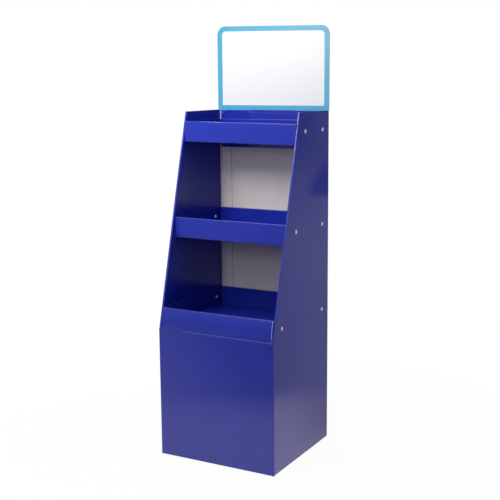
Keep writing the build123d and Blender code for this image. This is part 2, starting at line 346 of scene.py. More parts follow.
def make_piece(name, shells, materials, slot, *nodes):
    """Puts closed shells into one mesh, with its flat-sheet map and marks, and sets it in
    the frame in place of its nodes."""
    points, quads, maps, sides, marks = zip(*[shell.closed() for shell in shells])
    starts = np.cumsum([0] + [len(part) for part in points[:-1]])
    quads = np.concatenate([part + start for part, start in zip(quads, starts)])
    points = settled(np.concatenate(points)) * MM
    mesh = bpy.data.meshes.new(name)
    mesh.from_pydata(points.tolist(), [], quads.tolist())
    flat = mesh.uv_layers.new(name="flat_sheet")
    flat.data.foreach_set("uv", (np.concatenate(maps) * MM).ravel())
    mesh.polygons.foreach_set("material_index", np.concatenate(sides))
    marks = np.concatenate(marks).T.astype(np.float32, order="C")
    for mark, values in zip(("crease", "edge_gap"), marks):
        mesh.attributes.new(mark, "FLOAT", "POINT").data.foreach_set("value", values)
    mesh.polygons.foreach_set("use_smooth", np.ones(len(quads), bool))
    mesh.set_sharp_from_angle(angle=math.radians(38))
    for material in materials:
        mesh.materials.append(material)
    mesh.update()
    piece = linked(name, mesh)
    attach(piece, "root")
    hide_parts(*nodes)


# Materials
def node(tree, kind, sockets=None, **settings):
    """A new shader node with its settings made, and its sockets linked or set."""
    made = tree.nodes.new("ShaderNode" + kind)
    for name, value in settings.items():
        setattr(made, name, value)
    for key, value in (sockets or {}).items():
        if isinstance(value, bpy.types.NodeSocket):
            tree.links.new(value, made.inputs[key])
        else:
            made.inputs[key].default_value = value
    return made


def sums(tree, operation, first, second=0.0, third=0.0, clamp=False):
    """The result of a Math node."""
    sockets = {0: first, 1: second, 2: third}
    return node(tree, "Math", sockets, operation=operation, use_clamp=clamp).outputs[0]


def product(tree, first, *others):
    """All the values multiplied."""
    for other in others:
        first = sums(tree, "MULTIPLY", first, other)
    return first


def greatest(tree, first, *others):
    """The greatest of the values."""
    for other in others:
        first = sums(tree, "MAXIMUM", first, other)
    return first


def between(tree, value, low, high, to_low=0.0, to_high=1.0):
    """value carried smoothly from the range low..high to to_low..to_high."""
    sockets = {"Value": value, "From Min": low, "From Max": high,
               "To Min": to_low, "To Max": to_high}
    return node(tree, "MapRange", sockets, interpolation_type="SMOOTHSTEP").outputs[0]


def object_place(tree):
    """X, Y and Z of a point, from its Object coordinates."""
    place = node(tree, "TexCoord").outputs["Object"]
    return node(tree, "SeparateXYZ", {0: place}).outputs


def flat_place(tree):
    """X and Y of a point on the flat sheet."""
    flat = node(tree, "UVMap", uv_map="flat_sheet").outputs[0]
    return node(tree, "SeparateXYZ", {0: flat}).outputs[:2]


def noise(tree, scale, detail=2.0, roughness=0.5, stretch=(1, 1, 1)):
    """Fractal noise about 0.5, of so many grains to the metre, in Object coordinates that
    are first multiplied by stretch."""
    place = node(tree, "TexCoord").outputs["Object"]
    if stretch != (1, 1, 1):
        place = node(tree, "Mapping", {"Vector": place, "Scale": stretch}).outputs[0]
    sockets = {"Vector": place, "Scale": scale, "Detail": detail, "Roughness": roughness}
    return node(tree, "TexNoise", sockets).outputs["Fac"]


def mixed(tree, share, first, second):
    """The first colour with a share of the second."""
    sockets = {0: share, 6: first, 7: second}
    return node(tree, "Mix", sockets, data_type="RGBA").outputs[2]


def new_material(name, roughness=0.5):
    """A material with its node tree and its shader."""
    material = bpy.data.materials.new(name)
    material.use_nodes = True
    tree = material.node_tree
    shader = tree.nodes["Principled BSDF"]
    shader.inputs["Roughness"].default_value = roughness
    return material, tree, shader


def finished(material, colour, height, distance):
    """The material, given its colour and the bump of a height of which 1 is distance."""
    tree = material.node_tree
    inputs = tree.nodes["Principled BSDF"].inputs
    bump = node(tree, "Bump", {"Height": height, "Strength": 1.0, "Distance": distance})
    tree.links.new(colour, inputs["Base Color"])
    tree.links.new(bump.outputs[0], inputs["Normal"])
    return material


def flute_wave(tree, across):
    """The wave of the flutes, from -1 to 1, at a place across them on the flat sheet."""
    return sums(tree, "SINE", product(tree, across, 2 * math.pi / (FLUTE_PITCH * MM)))


# Colours, as linear red, green and blue: a pair is clouded from one into the other
PRINT_BLUES = (0.0104, 0.0254, 0.351, 1), (0.0127, 0.0289, 0.380, 1)
# The next blue is partly ink abraded and split at folds and cut edges, partly a painted highlight
# where they catch the light
WORN_AND_HIGHLIT_BLUE = (0.075, 0.11, 0.64, 1)
# Painted highlight for the right end of the bottom tray's front lip
END_HIGHLIGHT_BLUE = (0.22, 0.24, 0.72, 1)
PAPERS = (0.83, 0.765, 0.705, 1), (0.78, 0.71, 0.65, 1)
PAPER_SPECK = (0.52, 0.46, 0.41, 1)
PAPER_FLUTE = (0.48, 0.43, 0.39, 1)
COATED_WHITES = (0.83, 0.835, 0.84, 1), (0.86, 0.865, 0.87, 1)
CYANS = (0.048, 0.370, 0.585, 1), (0.060, 0.395, 0.610, 1)
RIVET_WHITES = (0.90, 0.93, 0.97, 1), (0.94, 0.97, 1.0, 1)


def dimmed_reflections(tree):
    """How far the reflections are dimmed, from 0 to 1, as painted shade in them. Outside on the
    right it is so in a wedge above one line that falls towards the back and below one that
    rises, and faintly over the upper front corner. Inside on the left it is so between the upper
    two trays."""
    x, y, z = object_place(tree)
    foot = sums(tree, "MULTIPLY_ADD", y, 0.12, z)
    head = sums(tree, "MULTIPLY_ADD", sums(tree, "MINIMUM", y, 0.15), -0.66, z)
    wedge = product(tree, between(tree, foot, 0.912, 0.934),
                    between(tree, head, 0.870, 0.960, 1.0, 0.0),
                    between(tree, y, -0.03, 0.12))
    corner = product(tree, between(tree, z, 0.98, 1.12, 0.0, 0.6),
                     between(tree, y, -0.03, 0.20, 1.0, 0.0))
    on_right = sums(tree, "GREATER_THAN", x, HALF * MM - 0.004)
    outside = product(tree, on_right, greatest(tree, wedge, corner))
    in_left = sums(tree, "COMPARE", x, -INSIDE * MM, 0.0025)
    inside = product(tree, in_left, between(tree, z, 0.81, 0.87),
                     between(tree, y, -0.10, 0.05, 0.35, 0.75))
    return greatest(tree, outside, inside)


def rim_highlight(tree, chips):
    """A painted highlight along the top edge of the plinth's front, from 0 to 1: patchily
    over the top 5 mm, from a little way in from its left corner."""
    x, y, z = object_place(tree)
    return product(tree, between(tree, z, (BASE - 5.0) * MM, (BASE - 3.0) * MM),
                   sums(tree, "LESS_THAN", z, (BASE + 0.2) * MM),
                   sums(tree, "LESS_THAN", y, (FRONT + 1.0) * MM),
                   between(tree, x, -0.135, -0.12),
                   between(tree, chips, 0.35, 0.65, 0.4, 0.8))


def printed_board(name):
    """Blue ink under a satin varnish: clouded, paler where a crease has split the ink and along
    cut edges, and there also a painted highlight on folds and edges; palest where the crease
    mark asks for a painted highlight on a lip's end; the flutes show faintly through the
    liner, and the specular level is lowered in patches as painted shade in the reflections."""
    material, tree, shader = new_material(name)
    crease = node(tree, "Attribute", attribute_name="crease").outputs["Fac"]
    edge_gap = node(tree, "Attribute", attribute_name="edge_gap").outputs["Fac"]
    cloud = noise(tree, 6.0, 3.0)
    grit = noise(tree, 420.0)
    chips = noise(tree, 90.0, 4.0, 0.6)
    ink = mixed(tree, between(tree, cloud, 0.35, 0.7), *PRINT_BLUES)
    # Paler at creases and along cut edges: partly split and abraded ink, partly painted highlight
    cracked_and_highlit = product(tree, between(tree, crease, 0.25, 1.0),
                      between(tree, chips, 0.35, 0.65, 0.25, 0.55))
    ragged = sums(tree, "MULTIPLY_ADD", chips, 0.9, 0.1)
    bared_and_highlit = sums(tree, "SUBTRACT", 1.0, sums(tree, "DIVIDE", edge_gap, ragged), clamp=True)
    wear_and_highlight = greatest(tree, cracked_and_highlit, product(tree, bared_and_highlit, 0.25), rim_highlight(tree, chips))
    worn_and_highlit = mixed(tree, wear_and_highlight, ink, WORN_AND_HIGHLIT_BLUE)
    # Palest where the crease mark asks for a painted highlight
    end_highlight = between(tree, crease, 0.7 * HIGHLIGHT_MARK, HIGHLIGHT_MARK)
    # Specular level lowered in patches: painted shade in the reflections
    varnish = sums(tree, "MULTIPLY_ADD", dimmed_reflections(tree), -0.4, 0.5)
    tree.links.new(varnish, shader.inputs["Specular IOR Level"])
    sheen = sums(tree, "MULTIPLY_ADD", cloud, 0.05, 0.205)
    rough = sums(tree, "MULTIPLY_ADD", greatest(tree, wear_and_highlight, crease), 0.3, sheen)
    tree.links.new(rough, shader.inputs["Roughness"])
    lines = product(tree, flute_wave(tree, flat_place(tree)[0]), 0.35)
    return finished(material, mixed(tree, end_highlight, worn_and_highlit, END_HIGHLIGHT_BLUE),
                    sums(tree, "MULTIPLY_ADD", grit, 0.6, lines), 0.00006)


def bare_liner(name):
    """Unprinted recycled paper, grey-white with fibres and faint flute lines."""
    material, tree, _ = new_material(name, 0.82)
    lines = flute_wave(tree, flat_place(tree)[0])
    fibre = noise(tree, 260.0, 4.0, 0.7, (1, 1, 0.25))
    cloud = noise(tree, 5.0, 3.0)
    base = mixed(tree, between(tree, cloud, 0.3, 0.7), *PAPERS)
    specks = mixed(tree, between(tree, fibre, 0.45, 0.75, 0.0, 0.3), base, PAPER_SPECK)
    striped = mixed(tree, between(tree, lines, -1.0, 1.0, 0.0, 0.10), specks, PAPER_FLUTE)
    return finished(material, striped, sums(tree, "MULTIPLY_ADD", fibre, 0.8, lines), 0.00008)


def cut_edge(name, hollow_shade, paper_dark, paper_pale):
    """Raw edge of corrugated board, out of the flat-sheet map: two liners, a wave of paper
    between them, as a sine along the edge, and the hollows of the flutes in painted shade."""
    material, tree, _ = new_material(name, 0.9)
    length, thickness = flat_place(tree)
    depth = sums(tree, "SUBTRACT", sums(tree, "DIVIDE", thickness, MM), BOARD / 2)
    reach = BOARD / 2 - LINER
    wave = product(tree, flute_wave(tree, length), reach)
    off_wave = sums(tree, "ABSOLUTE", sums(tree, "SUBTRACT", depth, wave))
    medium = between(tree, off_wave, 0.25, 0.55, 1.0, 0.0)
    outside = between(tree, sums(tree, "ABSOLUTE", depth), reach - 0.1, reach + 0.05)
    paper = greatest(tree, medium, outside)
    fuzz = noise(tree, 700.0, 3.0)
    colour = mixed(tree, paper, hollow_shade, mixed(tree, fuzz, paper_dark, paper_pale))
    return finished(material, colour, sums(tree, "MULTIPLY_ADD", fuzz, 0.3, paper), 0.0004)


def header_print(name):
    """White coated face with a plain border in pale cyan: the border is where the distance
    to the card's outline, with its two rounded upper corners, is under its width."""
    material, tree, _ = new_material(name, 0.42)
    x, _, z = object_place(tree)
    off_middle = sums(tree, "SUBTRACT", x, FIELD_CENTRE * MM)
    from_side = sums(tree, "SUBTRACT", sums(tree, "ABSOLUTE", off_middle),
                     (FIELD_HALF + BORDER - HEADER_CORNER) * MM)
    level = sums(tree, "MULTIPLY_ADD", x, CARD_SKEW / HALF, z)
    from_top = sums(tree, "SUBTRACT", level, (card_high[2] - HEADER_CORNER) * MM)
    squares = [sums(tree, "POWER", greatest(tree, past, 0.0), 2.0)
               for past in (from_side, from_top)]
    round_part = sums(tree, "SQRT", sums(tree, "ADD", *squares))
    flat_part = sums(tree, "MINIMUM", greatest(tree, from_side, from_top), 0.0)
    depth = sums(tree, "SUBTRACT", HEADER_CORNER * MM, sums(tree, "ADD", round_part, flat_part))
    from_foot = sums(tree, "SUBTRACT", z, TOP * MM)
    depth = sums(tree, "MINIMUM", depth, sums(tree, "ADD", from_foot, FOOT_LESS * MM))
    in_border = between(tree, depth, (BORDER - 0.15) * MM, (BORDER + 0.15) * MM, 1.0, 0.0)
    inked = product(tree, in_border, sums(tree, "GREATER_THAN", from_foot, -4 * MM))
    grain = noise(tree, 300.0)
    printed = mixed(tree, inked, mixed(tree, grain, *COATED_WHITES), mixed(tree, grain, *CYANS))
    return finished(material, printed, grain, 0.00004)


def moulded_white(name):
    """White plastic as it comes from the mould, a little cloudy and waxy."""
    material, tree, shader = new_material(name, 0.38)
    cloud = noise(tree, 500.0)
    shader.inputs["Subsurface Weight"].default_value = 0.08
    shader.inputs["Subsurface Scale"].default_value = 0.002
    return finished(material, mixed(tree, cloud, *RIVET_WHITES), cloud, 0.00003)


blue = printed_board("printed_blue")
liner = bare_liner("bare_liner")
edge = cut_edge("cut_edge", (0.10, 0.10, 0.20, 1), (0.34, 0.36, 0.56, 1), (0.48, 0.50, 0.70, 1))
inked_edge = cut_edge("inked_edge", (0.010, 0.012, 0.05, 1), (0.022, 0.032, 0.20, 1),
                      (0.035, 0.045, 0.26, 1))
# The plinth's cut edges: a bright blue that paints a highlight along its top edge
highlit_edge = cut_edge("highlit_edge", (0.04, 0.05, 0.28, 1), (0.11, 0.14, 0.62, 1),
                       (0.16, 0.20, 0.78, 1))
header_face = header_print("header_print")
rivet_white = moulded_white("rivet_white")
one_side_printed = (blue, liner, edge, highlit_edge)
both_sides_printed = (blue, blue, edge, inked_edge)


# Side walls, front and back
def bottom_flap(span, quarter_turns, offset, mirror=False):
    """A bottom flap: its section (inwards, up), from its panel's foot round the fold, is
    carried along the panel, mitred at 45 degrees, and turned to it."""
    outer, bend = rounded([(0, FOOT), (0, 0), (FLAP_DEPTH, 0)], [FOLD])
    inner, _ = rounded([(BOARD, FOOT), (BOARD, BOARD), (FLAP_DEPTH, BOARD)], [CREASE / 2])
    outer, inner, bend = cut_alike([outer, inner, bend])
    ends = span / 2 - outer[:, 0]
    shares = np.linspace(-1, 1, 20)
    angle = quarter_turns * math.pi / 2
    turn = np.array([[math.cos(angle), math.sin(angle), 0],
                     [-math.sin(angle), math.cos(angle), 0], [0, 0, 1]])
    sides = [lengthways(section, ends, shares) @ turn + offset for section in (outer, inner)]
    if mirror:
        sides = [mirrored(side) for side in sides]
    return board_sheet(*sides, bend, lengthwise=False)


def rolled_front(y):
    """The folded strip at a wall's front edge y, from the inner ply's back end to just
    behind the fold of the outer ply: face, reverse and the radii of each."""
    face, reverse = (
        [(INSIDE + thick, WALL_BACK), (INSIDE + thick, y + thick),
         (HALF - thick, y + thick), (HALF - thick, y + KEY)]
        for thick in (0, BOARD))
    return face, reverse, [ROLL, ROLL, 0], [CREASE, CREASE, 0]


def plinth_corner(y, stops, side_stops):
    """The strip round the plinth's front corner, from a panel that stands at y with points
    at the stops, over the fold, to the side: face, reverse and the radii of each."""
    face, reverse = (
        [*[(x, y + thick) for x in stops], (HALF - thick, y + thick),
         *[(HALF - thick, FRONT + stop) for stop in side_stops]]
        for thick in (0, BOARD))
    before, after = [0] * (len(stops) - 1), [0] * len(side_stops)
    return face, reverse, before + [FOLD] + after, before + [CREASE] + after


def wall_back(y, stops, fold):
    """The rest of a wall's sheet behind its outer ply's front: the side, the back fold, and
    a panel that stands at y with points at the stops."""
    face, reverse = (
        [(HALF - thick, WALL_BACK), (HALF - thick, y - thick), *[(x, y - thick) for x in stops]]
        for thick in (0, BOARD))
    after = [0] * (len(stops) - 1)
    return face, reverse, [0, fold] + after, [0, CREASE] + after


def foot_of(line, high_foot):
    """Height at which a wall's foot starts: the fold of its flap, or beside the flap's ends
    nearly down on the floor."""
    x, y = np.abs(line[:, 0]), line[:, 1]
    in_corner = (x > HALF - FLAP_NOTCH) & ((y < FRONT + FLAP_NOTCH) | (y > BACK - FLAP_NOTCH))
    return np.where(in_corner, CORNER_FOOT, high_foot)


def ring(front, back):
    """Joins the front and back parts of a level section into its face, reverse and bend."""
    face, bend = rounded(front[0] + back[0], front[2] + back[2])
    reverse, _ = rounded(front[1] + back[1], front[3] + back[3])
    return face, reverse, bend


def past_joint(face):
    """How many points each point of a section lies past the one, on the side, where the
    plinth's part and the part above it meet."""
    joint = np.flatnonzero(np.all(np.isclose(face, (HALF, FRONT + KEY)), axis=1))[0]
    return np.arange(len(face)) - joint


def on_bridge(line):
    """Which points of a line are on the bridge between the back panel and the pocket."""
    return np.abs(line[:, 0]) < BRIDGE + 0.1


def wall_shell(corner, back, plinth_ends, back_top, left=False, cut=CUT):
    """A wall's sheet above the floor, in two parts that meet in one line: the plinth's,
    round its front corner, and above it the one that is rolled over the sloping edge. The
    lower stands between the heights that plinth_ends gives for each point, and the upper
    ends at TOP, or behind the inner ply at what back_top gives."""
    shell = Shell()
    turn = (-1 if left else 1, 1, 1)
    face, reverse, bend = cut_alike(ring(corner, back))
    past = past_joint(face)
    ends = plinth_ends(face, past)
    sides = [standing(line, *ends, ROWS_LOW) * turn for line in (face, reverse)]
    board_sheet(*sides, bend, high=past[:-1] < 0, cut=cut, shell=shell)

    at_base, at_top = (ring(rolled_front(y), back) for y in (FRONT, front_edge(TOP)))
    face, reverse, bend, face_top, reverse_top = cut_alike(at_base + at_top[:2])
    past = past_joint(face)
    behind = (face[:, 1] > WALL_BACK + SEAM) & (past > 0)
    ends = np.where(past < 0, BASE + RELIEF, BASE), np.where(behind, back_top(face), TOP)
    sides = [sloping(*lines, *ends, ROWS_HIGH) * turn
             for lines in ((face, face_top), (reverse, reverse_top))]
    board_sheet(*sides, bend, low=past[:-1] < 0, shell=shell)
    return shell


def wrap_shell():
    """Main sheet above the floor: front, side and back of the plinth, and the right side
    with the back above it. The front's top edge dips to the corner."""
    corner = plinth_corner(FRONT, (-HALF, -NOTCH_PAST, -NOTCH_NEAR, NOTCH_NEAR, NOTCH_PAST),
                           (FOLD + 0.6, FLAP_NOTCH - SEAM, FLAP_NOTCH + SEAM, KEY))
    back = wall_back(BACK, (NOTCH_PAST, NOTCH_NEAR, BRIDGE + SEAM, BRIDGE, -BRIDGE,
                            -BRIDGE - SEAM, -NOTCH_NEAR, -NOTCH_PAST, -HALF), FOLD)

    def plinth_ends(face, past):
        to_corner = np.clip((face[:, 0] - NOTCH_PAST) / (HALF - NOTCH_PAST), 0, 1)
        dip = CORNER_DIP * to_corner * (face[:, 1] < FRONT + FOLD + 0.3)
        return foot_of(face, FOOT), BASE - dip

    def back_top(face):
        return np.where(on_bridge(face), BRIDGE_FOOT, TOP - RELIEF)

    # The plinth's cut edges take the bright blue edge with its painted highlight
    return wall_shell(corner, back, plinth_ends, back_top, cut=BLUE_CUT)


def left_shell():
    """Left sheet above the floor, with a glue flap at each end of its side panel."""
    corner = plinth_corner(FRONT + BOARD, (HALF - GLUE_FLAP, NOTCH_NEAR, NOTCH_PAST),
                           (FLAP_NOTCH + SEAM, KEY))
    back = wall_back(BACK - BOARD, (HALF - GLUE_FLAP,), FOLD - 0.1)

    def plinth_ends(face, past):
        low = foot_of(face, np.where(face[:, 0] < HALF - 2, FOOT + RELIEF, FOOT))
        return low, np.where(past < 0, BASE - RELIEF, BASE)

    return wall_shell(corner, back, plinth_ends, lambda face: GLUE_FLAP_TOP, left=True)


def flat_board(face_line, reverse_line, low, high, rows):
    """A flat strip of board standing on a straight level section."""
    face, reverse = cut_alike([np.array(face_line, float), np.array(reverse_line, float)])
    lows, highs = np.full(len(face), low), np.full(len(face), high)
    return board_sheet(standing(face, lows, highs, rows), standing(reverse, lows, highs, rows),
                       np.zeros(len(face)))


def pocket():
    """Flap that hangs from the top of the back panel as a pocket for the header's legs, and
    the bridge that carries it: a section (y, z) up, over and down, carried along X."""
    stops = (-POCKET_HALF + LEG_SHOWS, -BRIDGE - SEAM, -BRIDGE, BRIDGE, BRIDGE + SEAM,
             POCKET_HALF)
    face = np.array([(x, POCKET_FRONT) for x in stops], float)
    face, reverse = cut_alike([face, face + (0, BOARD)])
    low = np.full(len(face), TOP - POCKET_DROP)
    high = np.where(on_bridge(face), BRIDGE_FOOT, TOP - RELIEF)
    hanging = board_sheet(standing(face, low, high, 8), standing(reverse, low, high, 8),
                          np.zeros(len(face)))
    eaves = TOP - BOARD - 0.7
    (outer, bend), (inner, _) = (
        rounded([(BACK - thick, BRIDGE_FOOT), (BACK - thick, eaves), (BACK - thick, TOP - thick),
                 (POCKET_FRONT + thick, TOP - thick), (POCKET_FRONT + thick, eaves),
                 (POCKET_FRONT + thick, BRIDGE_FOOT)], [0, radius, radius, 0])
        for thick, radius in ((0, ROLL), (BOARD, CREASE)))
    outer, inner, bend = cut_alike([outer, inner, 0.4 * bend])
    ends = np.full(len(outer), BRIDGE)
    shares = np.linspace(-1, 1, 9)
    bridge = board_sheet(lengthways(outer, ends, shares), lengthways(inner, ends, shares), bend,
                         lengthwise=False)
    return [hanging, bridge]


wide_flap = 2 * HALF - 2 * FLAP_NOTCH
deep_flap = BACK - FRONT - 2 * FLAP_NOTCH
make_piece(
    "body_wrap_board",
    [wrap_shell(), *pocket(),
     bottom_flap(wide_flap, 0, (0, FRONT, 0)),
     bottom_flap(wide_flap, 2, (0, BACK, 0)),
     bottom_flap(deep_flap, 1, (HALF, 0, 0))],
    one_side_printed, "printed_board", "body_wrap")
back_end = BACK - BOARD
make_piece(
    "left_side_board",
    [left_shell(),
     flat_board([(-HALF, WALL_BACK), (-HALF, back_end)],
                [(-HALF + BOARD, WALL_BACK), (-HALF + BOARD, back_end)],
                GLUE_FLAP_TOP, TOP, 7),
     bottom_flap(deep_flap, 1, (HALF, 0, 0), mirror=True)],
    one_side_printed, "printed_board", "left_side")


# Trays
def leaned(section, lean):
    """A front lip's upright section, leaned back: above its foot it follows the circle that
    starts upright there and has moved by lean at the lip's top."""
    if lean == 0:
        return section
    rise = LIP - LIP_FOOT
    radius = (lean**2 + rise**2) / (2 * lean)
    above = np.clip(section[..., -1] - LIP_FOOT, 0, None)
    moved = section.copy()
    moved[..., -2] += radius - np.sqrt(radius**2 - above**2)
    return moved


def turned_round(section, depth):
    """A section (y, z) of a front lip, turned to be the back lip's."""
    return np.stack([depth - section[:, 0], section[:, 1]], -1)


def sunk(shells, low, high, drop):
    """The shells of a tray with its front right corner sunk by drop, and the rest in
    proportion to the distance from its left side and, within TRAY_HOLD, from its back."""
    for shell in shells:
        for points in shell.points:
            to_right = (points[:, 0] - low[0]) / (high[0] - low[0])
            to_front = np.clip(1 - (points[:, 1] - low[1]) / TRAY_HOLD, 0, 1)
            points[:, 2] -= drop * np.clip(to_right, 0, 1) * to_front
    return shells


def lip_section(half, depth, lean, at_back):
    """Half of a tray's section (y, z), from the foot of a rolled lip's inner ply over the
    roll, down the outer ply and round the fold to the floor: outer and inner line, bend,
    and how far from the middle each point reaches along X."""
    (outer, bend), (inner, _) = (
        rounded([(STACK - thick, LIP_FOOT), (STACK - thick, LIP - thick - JOG - roll),
                 (STACK - thick, LIP - thick), (thick, LIP - thick), (thick, thick),
                 (LIP_FOOT, thick), (LIP_FOOT + JOG, thick)], [0, roll, roll, fold, 0])
        for thick, roll, fold in ((0, ROLL, FOLD), (BOARD, CREASE, CREASE)))
    outer, inner, bend = cut_alike([outer, inner, bend], LIP_STEP)
    inner_ply = (outer[:, 0] > STACK - 0.01) & (outer[:, 1] < LIP - ROLL - 0.1)
    floor = (outer[:, 1] < 0.01) & (outer[:, 0] > LIP_FOOT + 0.1)
    ends = np.where(inner_ply | floor, half - FOLD - SEAM, half)
    if at_back:
        outer, inner = turned_round(outer[::-1], depth), turned_round(inner[::-1], depth)
        return outer, inner, bend[::-1], ends[::-1]
    return leaned(outer, lean), leaned(inner, lean), bend, ends


def tray_shells(node_name, lean, drop):
    """One folded tray: floor with rolled front and back lips as one section carried along X,
    side lips as sections carried along Y, and the ears and tabs that lock the lips."""
    low, high = millimetres(node_name)
    rest, depth, half = low[2], high[1] - low[1], high[0]
    base = np.array([0, low[1], rest])
    front, rear = (lip_section(half, depth, lean, at_back) for at_back in (False, True))
    outer, inner, bend, ends = cut_alike([np.concatenate(pair) for pair in zip(front, rear)])
    shares = np.append(np.linspace(-1, 0.97, 23), (0.985, 0.989, 1.0))
    face = lengthways(outer, ends, shares) + base
    # A strip at the right end of the leaning front lip is marked for a painted highlight, where
    # that end catches the light
    if lean:
        lip_face = (outer[:, 0] < lean + 0.5) & (outer[:, 1] > FOLD)
        worn_and_highlit = (face[..., 0] > half - HIGHLIT_END) & lip_face
        bend = np.maximum(np.broadcast_to(bend, worn_and_highlit.shape), HIGHLIGHT_MARK * worn_and_highlit)
    shells = [board_sheet(face, lengthways(inner, ends, shares) + base, bend)]

    # Side lips: section (x, z), face outwards, carried from the front lip to the back one
    seam = half - FOLD - SEAM
    outer, bend = rounded([(seam, 0), (half, 0), (half, LIP)], [FOLD])
    inner, _ = rounded([(seam, BOARD), (half - BOARD, BOARD), (half - BOARD, LIP)], [CREASE])
    outer, inner, bend = cut_alike([outer, inner, bend], LIP_STEP)
    front_stop, back_stop = lean + STACK + LIP_GAP, depth - STACK - LIP_GAP
    y = np.array([LIP_FOOT, front_stop, front_stop + JOG, back_stop - JOG, back_stop,
                  depth - LIP_FOOT])
    crest = np.array([SIDE_LIP, SIDE_LIP, LIP, LIP, SIDE_LIP, SIDE_LIP])
    y, crest = cut_alike([y[:, None], crest])

    def side_grid(section):
        """The section at each y, its height scaled above the fold to the crest there, and
        leaned with the front lip between its plies."""
        x, z = section.T
        raised = np.clip((z - FOLD - 0.5) / (LIP - FOLD - 0.5), 0, 1)
        height = z + raised * (crest[:, None] - LIP)
        share = np.clip((front_stop - y) / (front_stop - LIP_FOOT), 0, 1)
        placed = np.stack(np.broadcast_arrays(x, y, height), -1)
        placed[..., 1] += share * (leaned(placed, lean)[..., 1] - placed[..., 1])
        return placed

    for side in (1, -1):
        grids = [side_grid(line) * (side, 1, 1) + base for line in (outer, inner)]
        shells.append(board_sheet(*grids, bend, lengthwise=False, cut=BLUE_CUT))

    # Ears, folded in from the side lips between the plies of the rolled lips
    ear = np.array([(LIP_FOOT, LIP_FOOT), (LIP_FOOT, SIDE_LIP)])
    plies = cut_alike([ear, ear + (BOARD, 0)], LIP_STEP)
    reach = np.linspace(half - EAR, seam, 8)
    for side in (1, -1):
        for at_back in (False, True):
            lines = [turned_round(ply, depth) if at_back else leaned(ply, lean) for ply in plies]
            grids = [lengthways(line, np.full(len(line), side), reach) + base for line in lines]
            shells.append(board_sheet(*grids, np.zeros(len(plies[0]))))

    # Tabs on the inner plies, through the floor
    for middle in (TAB_PLACE, -TAB_PLACE):
        for near in (STACK, depth - STACK + BOARD):
            ends = middle - TAB_WIDTH / 2, middle + TAB_WIDTH / 2
            sides = [[(x, near + low[1] - thick) for x in ends] for thick in (0, BOARD)]
            shells.append(flat_board(*sides, rest - 0.4, rest + LIP_FOOT, 3))
    return sunk(shells, low, high, drop)


# Each tray, how far its front lip leans back, and how far its front right corner has sunk
TRAYS = (("top_tray", 0.0, 3.6), ("middle_tray", 0.0, 2.2), ("bottom_tray", 13.0, 0.0))
for tray, lean, drop in TRAYS:
    make_piece(tray + "_board", tray_shells(tray, lean, drop), both_sides_printed,
               "printed_board", tray)


# Header card
def card_shell(centre, half, low, high, corner, corners_up):
    """A flat card with two rounded corners: each level row reaches as far from its middle
    as the corner's quarter circle lets it."""
    turn = np.linspace(0, math.pi / 2, 13)
    straight = np.linspace(0, high - low - corner, 14)[:-1]
    from_low = np.concatenate([straight, high - low - corner * (1 - np.sin(turn))])
    pulled = np.concatenate([np.zeros(len(straight)), corner * (1 - np.cos(turn))])
    z = low + from_low
    if not corners_up:
        z, pulled = (high - from_low)[::-1], pulled[::-1]
    share = np.linspace(-1, 1, 17)
    x = centre + (half - pulled)[:, None] * share
    face, reverse = (
        np.stack(np.broadcast_arrays(x, y, z[:, None]), -1)
        for y in (card_low[1], card_high[1]))
    return board_sheet(face, reverse, np.zeros(len(share)))


leg_out, leg_in = INSIDE - 1.0, BRIDGE + 1.0
legs = [card_shell(side * (leg_out + leg_in) / 2, (leg_out - leg_in) / 2, TOP - LEG_DROP, TOP,
                   LEG_CORNER, False) for side in (1, -1)]
card = card_shell(CARD_OFF, HALF + CARD_WIDER, TOP, card_high[2], HEADER_CORNER, True)
for points in card.points:
    height = (points[:, 2] - TOP) / (card_high[2] - TOP)
    points[:, 2] -= CARD_SKEW * height * points[:, 0] / HALF
make_piece("header_card_print", [card, *legs], (header_face, liner, edge), "header_board",
           "header_card")


# Snap rivets
def closed_rings(rings):
    """A shell of rings (rows) of points, joined round, with a ladder of faces over the
    first and the last ring. Each ring has an even number of points."""
    shell = Shell()
    joined = np.concatenate([rings, rings[:, :1]], axis=1)
    shell.grid(joined, np.zeros(joined.shape[:2] + (2,)), FACE)
    half = rings.shape[1] // 2
    for ring_points, turned in ((rings[0], True), (rings[-1], False)):
        ladder = np.stack([ring_points[:half], ring_points[:half - 1:-1]])
        shell.grid(ladder, np.zeros((2, half, 2)), FACE, turned=turned)
    return shell


def round_rings(profile, angles, split=0.0):
    """Rings of a profile (x, radius) swept through the angles round X; split moves them
    away from the axis, for one half of a slotted end."""
    x, radius = np.array(profile, float).T
    y = radius[:, None] * np.cos(angles)
    z = radius[:, None] * np.sin(angles) + split
    return np.stack(np.broadcast_arrays(x[:, None], y, z), -1)


def rivet_rings():
    """Snap rivet with its head on x = 0: a low crown, whose height follows a power of a
    cosine, round a shallow dish, a plain shank through the board, and a slotted collar
    inside the tray."""
    crown = np.linspace(0, math.pi / 2, 8)
    head = np.stack([2.1 * np.cos(crown) ** 0.8, 2.6 + 4.4 * np.sin(crown)], -1)
    profile = np.concatenate([[(1.75, 0.8), (1.75, 2.0), (2.0, 2.35)], head,
                              [(0.02, 6.7), (0.02, 3.8), (-9.9, 3.8), (-9.9, 0.8)]])
    full = np.linspace(0, 2 * math.pi, 29)[:-1]
    collar = [(-9.95, 0.9), (-9.95, 3.6), (-10.15, 4.9), (-10.5, 5.2), (-11.2, 5.1),
              (-12.8, 3.9), (-13.6, 2.9), (-13.9, 2.2), (-13.9, 0.6)]
    half_turn = np.linspace(0, math.pi, 14)
    return [round_rings(profile, full), round_rings(collar, half_turn, 0.5),
            -round_rings([(-x, r) for x, r in collar], half_turn, 0.5)]


